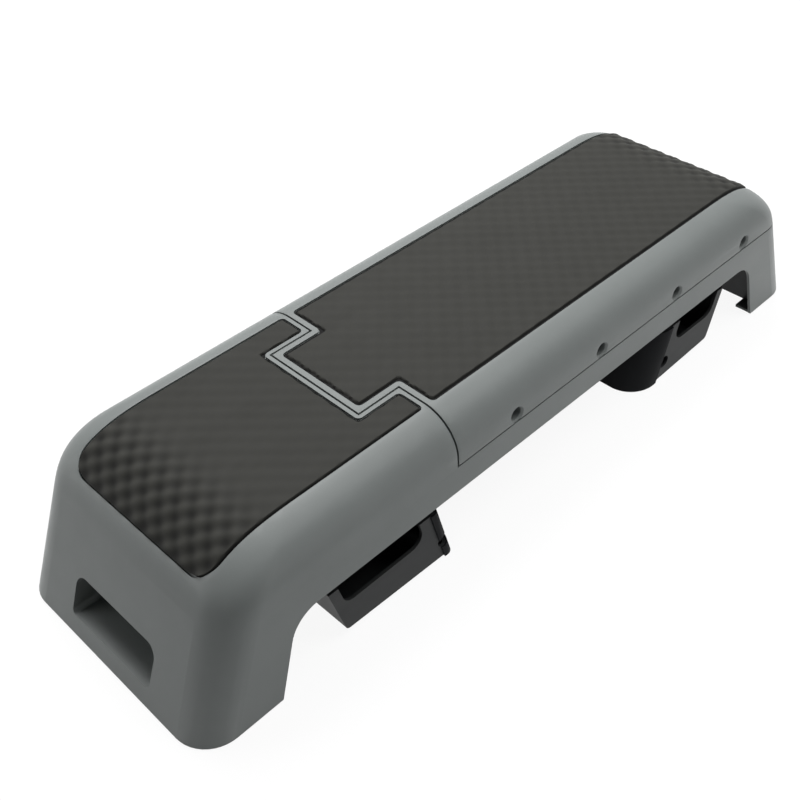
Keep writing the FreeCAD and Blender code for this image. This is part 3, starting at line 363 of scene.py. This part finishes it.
class Mat:
    """A studded rubber mat that follows the deck's top and one end's roll.

    Along the mat, run is the distance over the surface from the start of the roll towards the deck's end.
    Where the two mats meet, a tongue of one reaches into a notch of the other, from shoulder to tip.
    """

    def __init__(self, name, node, side, shoulder, tip, tongue_half, notch, scallop):
        self.name = name
        self.node = node
        self.side = side
        self.notch = notch
        self.scallop = scallop
        self.axis = roll_centre()
        low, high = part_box(node)
        self.radius = high.z - ROLL_AXIS_HEIGHT
        end_reach = max(abs(low.x), abs(high.x)) - self.axis
        self.end_run = self.radius * math.asin(end_reach / self.radius) - MAT_INSET
        self.shoulder_run = side * shoulder - self.axis + MAT_INSET
        self.tip_run = side * tip - self.axis + MAT_INSET
        self.half = high.y - MAT_INSET
        self.tongue_half = tongue_half + (MAT_INSET if notch else -MAT_INSET)
        solid = NODES[node].data
        faces = [tuple(face.vertices) for face in solid.polygons]
        self.surface = BVHTree.FromPolygons([vertex.co for vertex in solid.vertices], faces)

    def point(self, run, across):
        """Place and outward normal on the solid's top at one spot."""
        turn = max(run, 0.0) / self.radius
        flat = self.axis + min(run, 0.0)
        place = Vector((self.side * (flat + self.radius * math.sin(turn)), across,
                        ROLL_AXIS_HEIGHT + self.radius * math.cos(turn)))
        normal = Vector((self.side * math.sin(turn), 0, math.cos(turn)))
        hit = self.surface.ray_cast(place + normal * FIND_HEIGHT, -normal)[0]
        return (hit or place), normal

    def half_at(self, run):
        """Half width at one run, drawn in round the corners at the end."""
        inside = self.end_run - run
        if inside >= MAT_END_CORNER:
            return self.half
        rest = MAT_END_CORNER - inside
        return self.half - MAT_END_CORNER + math.sqrt(max(MAT_END_CORNER ** 2 - rest ** 2, 0))

    def in_outline(self, run, across):
        """Whether a cell around this spot belongs to the mat."""
        beside = abs(across) - self.tongue_half
        if self.notch:
            wide = run > self.tip_run or (run > self.shoulder_run and beside > 0)
            return wide or in_fillet(self.tip_run - run, -beside)
        return run > self.shoulder_run or beside < 0 or in_fillet(self.shoulder_run - run, beside)

    def tee_distance(self, run, across):
        """Distance to the stepped edge between the two mats."""
        low, high = sorted((self.tip_run, self.shoulder_run))
        beside = abs(across) - self.tongue_half
        to_side = math.hypot(beside, max(low - run, 0, run - high))
        to_tip = math.hypot(run - self.tip_run, max(beside, 0))
        to_shoulder = math.hypot(run - self.shoulder_run, max(-beside, 0))
        return min(to_side, to_tip, to_shoulder)

    def sunk(self, run, across, stud_share):
        """How far the edge is sunk at one spot, from 0 to 1."""
        distance = min(self.half_at(run) - abs(across), self.tee_distance(run, across))
        width = EDGE_WIDTH + self.scallop * (1 - stud_share)
        return ease((width - distance) / EDGE_SLOPE)

    def relief(self, run, across):
        """Height above the solid's top at one spot, and how pale the rubber is there, from 0 to 1: worn on
        the flat top and on the roll's stud tops, with painted shade in the roll's valleys, the sunk edge and
        the deck's end strip.
        """
        even = ease((EVEN_START - run) / (EVEN_START - EVEN_FULL))
        stud_share = stud(run, across)
        sunk = self.sunk(run, across, stud_share)
        height = even * FLAT_STUD_HEIGHT + (1 - even) * STUD_HEIGHT
        # Painted shade: the rubber darkens to half its paleness towards the deck's end, over
        # END_SHADE_WIDTH.
        end_shade = (1 + ease((self.end_run - run) / END_SHADE_WIDTH)) / 2
        # Painted shade: on the roll the valleys between the studs take a darker colour than the worn stud
        # tops.
        studs_and_shaded_valleys = VALLEY_SHADED_LEVEL + (1 - VALLEY_SHADED_LEVEL) * stud_share
        wear_and_shade = (even * FLAT_SCUFF + (1 - even) * studs_and_shaded_valleys) * end_shade
        # Painted shade: the sunk edge and its pits between the studs take the darkest colour.
        return height * stud_share * (1 - sunk) - MAT_VALLEY - EDGE_DEPTH * sunk, wear_and_shade * (1 - sunk)


def lines(marks, step):
    """Grid lines that hold every mark and lie about a step apart."""
    result = [marks[0]]
    for start, end in zip(marks, marks[1:]):
        count = max(1, round((end - start) / step))
        result += [start + (end - start) * number / count for number in range(1, count + 1)]
    return result


def middles(values):
    """The middle between each value and the next."""
    return [(value + following) / 2 for value, following in zip(values, values[1:])]


def mat_mesh(mat):
    """The mat as a closed mesh: studded top, upright rim, smooth back."""
    run_marks = sorted({mat.tip_run, mat.shoulder_run, 0.0, mat.end_run - MAT_END_CORNER})
    runs = lines(run_marks + [mat.end_run], MAT_GRID)
    tongue = mat.tongue_half / mat.half
    shares = lines([-1.0, -tongue, tongue, 1.0], MAT_GRID / mat.half)
    top, back = {}, {}
    points, wear_and_shade_values = [], []
    for row, run in enumerate(runs):
        for column, share in enumerate(shares):
            across = share * mat.half_at(run)
            place, normal = mat.point(run, across)
            # Each top point holds its wear and painted shade number; the back holds 0.
            rise, wear_and_shade = mat.relief(run, across)
            top[row, column] = len(points)
            points.append(place + normal * rise)
            back[row, column] = len(points)
            points.append(place - normal * MAT_THICKNESS)
            wear_and_shade_values += [wear_and_shade, 0.0]
    cells = {(row, column)
             for row, run in enumerate(middles(runs))
             for column, share in enumerate(middles(shares))
             if mat.in_outline(run, share * mat.half)}
    faces = back_strips(cells, back)
    for row, column in sorted(cells):
        corners = [(row, column), (row + 1, column), (row + 1, column + 1), (row, column + 1)]
        faces.append([top[corner] for corner in corners])
        beside = [(row, column - 1), (row + 1, column), (row, column + 1), (row - 1, column)]
        for first, last, neighbour in zip(corners, corners[1:] + corners[:1], beside):
            if neighbour not in cells:
                faces.append([top[last], top[first], back[first], back[last]])
    if mat.side > 0:
        faces = [face[::-1] for face in faces]
    return used_mesh(mat.name, points, faces, {"wear_and_shade": wear_and_shade_values})


def on_rim(cells, row, column):
    """Whether a grid point has a cell missing around it."""
    return not {(row, column), (row - 1, column), (row, column - 1), (row - 1, column - 1)} <= cells


def back_strips(cells, back):
    """Strips across the back between the points of the rim."""
    faces = []
    for row in sorted({row for row, _ in cells}):
        columns = sorted(column for row_of, column in cells if row_of == row)
        starts = [column for column in columns if (row, column - 1) not in cells]
        stops = [column + 1 for column in columns if (row, column + 1) not in cells]
        for start, stop in zip(starts, stops):
            across = range(start, stop + 1)
            near = [back[row, column] for column in across if on_rim(cells, row, column)]
            far = [back[row + 1, column] for column in across if on_rim(cells, row + 1, column)]
            faces.append(near + far[::-1])
    return faces


def used_mesh(name, points, faces, numbers):
    """A smooth mesh of the points that its faces use, with the numbers that its points hold."""
    used = sorted({index for face in faces for index in face})
    renamed = {index: number for number, index in enumerate(used)}
    used_points = [points[index] for index in used]
    used_faces = [[renamed[index] for index in face] for face in faces]
    mesh = bpy.data.meshes.new(name)
    mesh.from_pydata(used_points, [], used_faces)
    for label, values in numbers.items():
        held = mesh.attributes.new(label, "FLOAT", "POINT")
        held.data.foreach_set("value", [values[index] for index in used])
    mesh.shade_smooth()
    mesh.set_sharp_from_angle(angle=MAT_SHARP_ANGLE)
    return mesh


def add_object(name, data):
    """A new object in the scene."""
    added = bpy.data.objects.new(name, data)
    bpy.context.scene.collection.objects.link(added)
    return added


def add_piece(name, mesh, body, slot):
    """Adds a new piece, which rides on a body and takes its finish from a slot."""
    piece = add_object(name, mesh)
    mesh.materials.append(MATERIALS[slot])
    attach(piece, body)
    return piece


for studded in (
    Mat("seat_mat_studded", "seat_mat", side=-1, shoulder=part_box("seat_mat")[1].x, tip=SEAT_NOTCH_TIP,
        tongue_half=SEAT_NOTCH_HALF, notch=True, scallop=SEAT_SCALLOP),
    Mat("backrest_mat_studded", "backrest_mat", side=1, shoulder=BACK_SHOULDER,
        tip=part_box("backrest_mat")[0].x, tongue_half=BACK_TONGUE_HALF, notch=False, scallop=BACK_SCALLOP),
):
    mat_piece = add_piece(studded.name, mat_mesh(studded), NODES[studded.node]["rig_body"], "mat_rubber")
    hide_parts(studded.node)


def seen_directly(tree):
    """1 for what the camera sees, itself or in a reflection, and 0 for the light on the object."""
    path = tree.nodes.new("ShaderNodeLightPath")
    value = path.outputs["Is Camera Ray"]
    for kind in ("Is Glossy Ray", "Is Transmission Ray"):
        value = combined(tree, "MAXIMUM", value, path.outputs[kind])
    return value


def seen_through(tree):
    """How open the floor is.

    It is open in part to the camera, so that legs swung out below it show, and all open from below.
    """
    path = tree.nodes.new("ShaderNodeLightPath")
    side = tree.nodes.new("ShaderNodeNewGeometry")
    to_camera = combined(tree, "MULTIPLY", path.outputs["Is Camera Ray"], FLOOR_OPENNESS)
    from_above = combined(tree, "MAXIMUM", to_camera, path.outputs["Is Shadow Ray"])
    return combined(tree, "MAXIMUM", from_above, side.outputs["Backfacing"])


def floor_material():
    """A pale floor that is white to the camera and keeps the shadow."""
    material = bpy.data.materials.new("floor")
    tree = empty_tree(material)
    diffuse = tree.nodes.new("ShaderNodeBsdfDiffuse")
    diffuse.inputs["Color"].default_value = FLOOR_COLOUR
    glow = tree.nodes.new("ShaderNodeEmission")
    strength = combined(tree, "MULTIPLY", seen_directly(tree), BACKDROP_GLOW)
    tree.links.new(strength, glow.inputs["Strength"])
    both = tree.nodes.new("ShaderNodeAddShader")
    tree.links.new(diffuse.outputs[0], both.inputs[0])
    tree.links.new(glow.outputs[0], both.inputs[1])
    clear = tree.nodes.new("ShaderNodeBsdfTransparent")
    output = tree.nodes.new("ShaderNodeOutputMaterial")
    tree.links.new(mixed(tree, seen_through(tree), both, clear), output.inputs["Surface"])
    return material


def add_floor():
    """Adds the square floor that the deck stands on."""
    half = FLOOR_SIZE / 2
    corners = [(-half, -half, 0), (half, -half, 0), (half, half, 0), (-half, half, 0)]
    mesh = bpy.data.meshes.new("floor")
    mesh.from_pydata(corners, [], [(0, 1, 2, 3)])
    mesh.materials.append(floor_material())
    floor = add_object("floor", mesh)


def add_world():
    """Adds a plain room: dim light, and as white as the floor where the camera and reflections see it."""
    world = bpy.data.worlds.new("room")
    bpy.context.scene.world = world
    tree = empty_tree(world)
    light = tree.nodes.new("ShaderNodeBackground")
    light.inputs["Strength"].default_value = ROOM_LEVEL
    white = tree.nodes.new("ShaderNodeBackground")
    white.inputs["Color"].default_value = WHITE
    white.inputs["Strength"].default_value = BACKDROP_GLOW
    output = tree.nodes.new("ShaderNodeOutputWorld")
    tree.links.new(mixed(tree, seen_directly(tree), light, white), output.inputs["Surface"])


def facing(place, aim):
    """The turn of a lamp or camera that looks from its place at its aim."""
    return (Vector(aim) - Vector(place)).to_track_quat("-Z", "Y")


def add_turned(name, data, place, turn):
    """A new lamp or camera at a place, turned as said."""
    holder = add_object(name, data)
    holder.location = place
    holder.rotation_mode = "QUATERNION"
    holder.rotation_quaternion = turn
    return holder


def add_lamp(name, place, aim, size, watts):
    """Adds a square soft box."""
    lamp = bpy.data.lights.new(name, "AREA")
    lamp.shape = "SQUARE"
    lamp.size = size
    lamp.energy = watts
    add_turned(name, lamp, place, facing(place, aim))


def add_camera():
    """Adds the camera with the photograph's view."""
    camera = bpy.data.cameras.new("camera")
    camera.lens = CAMERA_LENS_MM
    camera.sensor_width = SENSOR_MM
    turn = facing(CAMERA_PLACE, CAMERA_AIM) @ Quaternion((0, 0, 1), CAMERA_ROLL)
    bpy.context.scene.camera = add_turned("camera", camera, CAMERA_PLACE, turn)


add_floor()
add_world()
for soft_box in LAMPS:
    add_lamp(*soft_box)
add_camera()
bpy.context.scene.view_settings.view_transform = "Standard"
